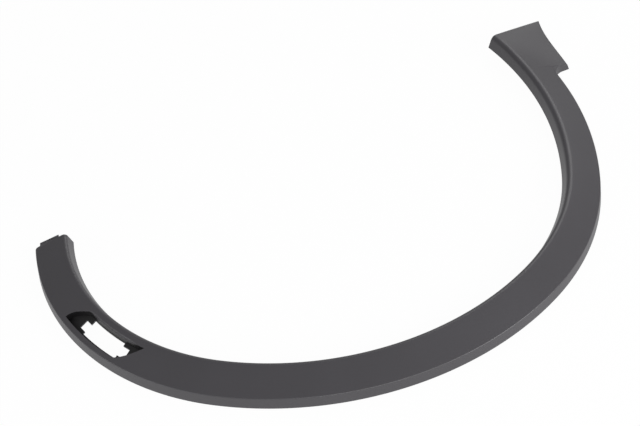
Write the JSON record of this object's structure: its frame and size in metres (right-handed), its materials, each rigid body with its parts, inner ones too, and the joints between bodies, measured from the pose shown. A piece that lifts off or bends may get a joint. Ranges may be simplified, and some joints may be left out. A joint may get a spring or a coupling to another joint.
{
  "type": "wheel arch trim",
  "caption": "Curved wheel arch trim of grained black plastic, with a lamp pocket near one end and a wide stepped tail at the other.",
  "frame": {"origin": "middle of the trim's outline, on the plane of the panel it is fixed to", "axes": "+X along the car from the lamp end to the wide tail, +Y towards the open side of the wheel arch, +Z out from the car's side"},
  "size_m": [0.8924, 0.6025, 0.035],
  "materials": {
    "moulding": "fine grain, satin"
  },
  "bodies": {
    "root": {"arch_trim": "moulding"}
  },
  "joints": []
}
